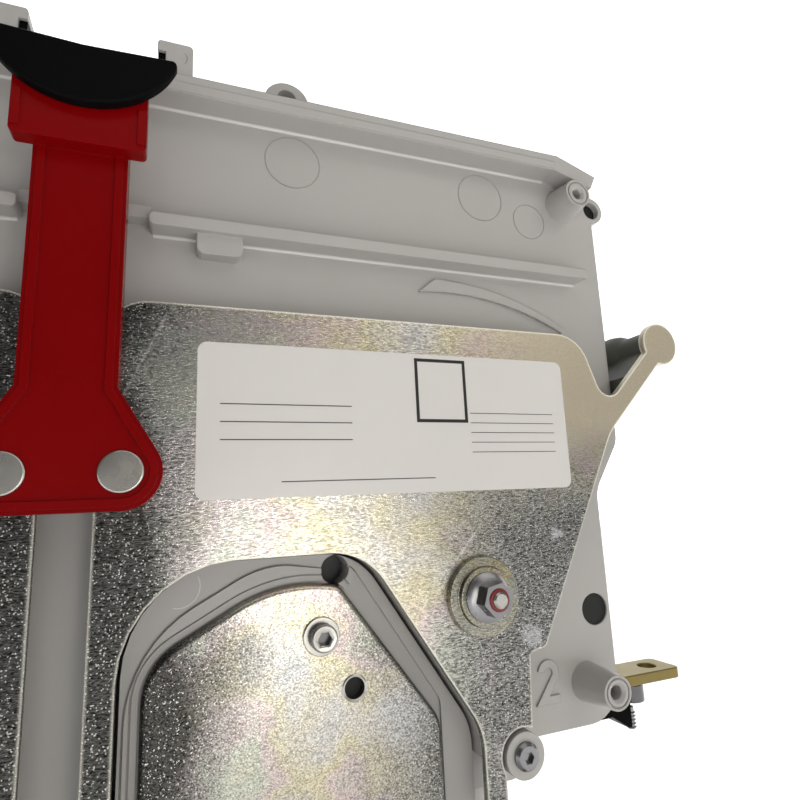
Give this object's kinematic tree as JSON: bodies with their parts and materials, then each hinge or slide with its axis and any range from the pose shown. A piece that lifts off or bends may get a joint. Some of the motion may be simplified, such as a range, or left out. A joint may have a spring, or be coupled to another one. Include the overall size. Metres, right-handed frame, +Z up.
{
  "type": "high voltage contactor",
  "caption": "Railway style high voltage contactor: grey moulded arc chute clamped by zinc-plated steel swing yokes, red locking handle, brass main terminals and a drive base.",
  "frame": {"origin": "middle of the base plate's underside", "axes": "+X across the chute from terminal to terminal, +Y to the rear, +Z up"},
  "size_m": [0.536, 0.1596, 0.3479],
  "materials": {
    "grey_moulding": "satin light grey moulding",
    "zinc_steel": "zinc plated, passivated",
    "red_moulding": "glossy deep red",
    "black_moulding": "smooth black",
    "terminal_brass": "dull brass",
    "dark_insulation": "dark grey insulation board",
    "splitter_steel": "plain steel sheet",
    "turned_steel": "turned steel"
  },
  "bodies": {
    "root": {"base_plate": "zinc_steel", "drive_housing": "grey_moulding", "drive_cover_left": "black_moulding", "drive_cover_right": "black_moulding", "terminal_block_left": "black_moulding", "terminal_block_right": "black_moulding", "terminal_bar_left": "terminal_brass", "terminal_bar_right": "terminal_brass", "chute_wall_front": "grey_moulding", "chute_wall_rear": "grey_moulding", "arc_chamber": "dark_insulation", "splitters_left": "splitter_steel", "splitters_right": "splitter_steel", "chute_grid": "dark_insulation", "pole_frame_front_left": "grey_moulding", "pole_frame_front_right": "grey_moulding", "pole_frame_rear_left": "grey_moulding", "pole_frame_rear_right": "grey_moulding", "pole_plate_front_left": "zinc_steel", "pole_plate_front_right": "zinc_steel", "pole_plate_rear_left": "zinc_steel", "pole_plate_rear_right": "zinc_steel", "yoke_front_left": "zinc_steel", "yoke_front_right": "zinc_steel", "yoke_rear_left": "zinc_steel", "yoke_rear_right": "zinc_steel", "cross_bar_left": "grey_moulding", "cross_bar_right": "grey_moulding", "pivot_front_left": "zinc_steel", "pivot_front_right": "zinc_steel", "pivot_rear_left": "zinc_steel", "pivot_rear_right": "zinc_steel", "handle_front": "red_moulding", "handle_rear": "red_moulding", "grip_front": "black_moulding", "grip_rear": "black_moulding", "lock_pins_front": "turned_steel", "lock_pins_rear": "turned_steel"}
  },
  "joints": []
}
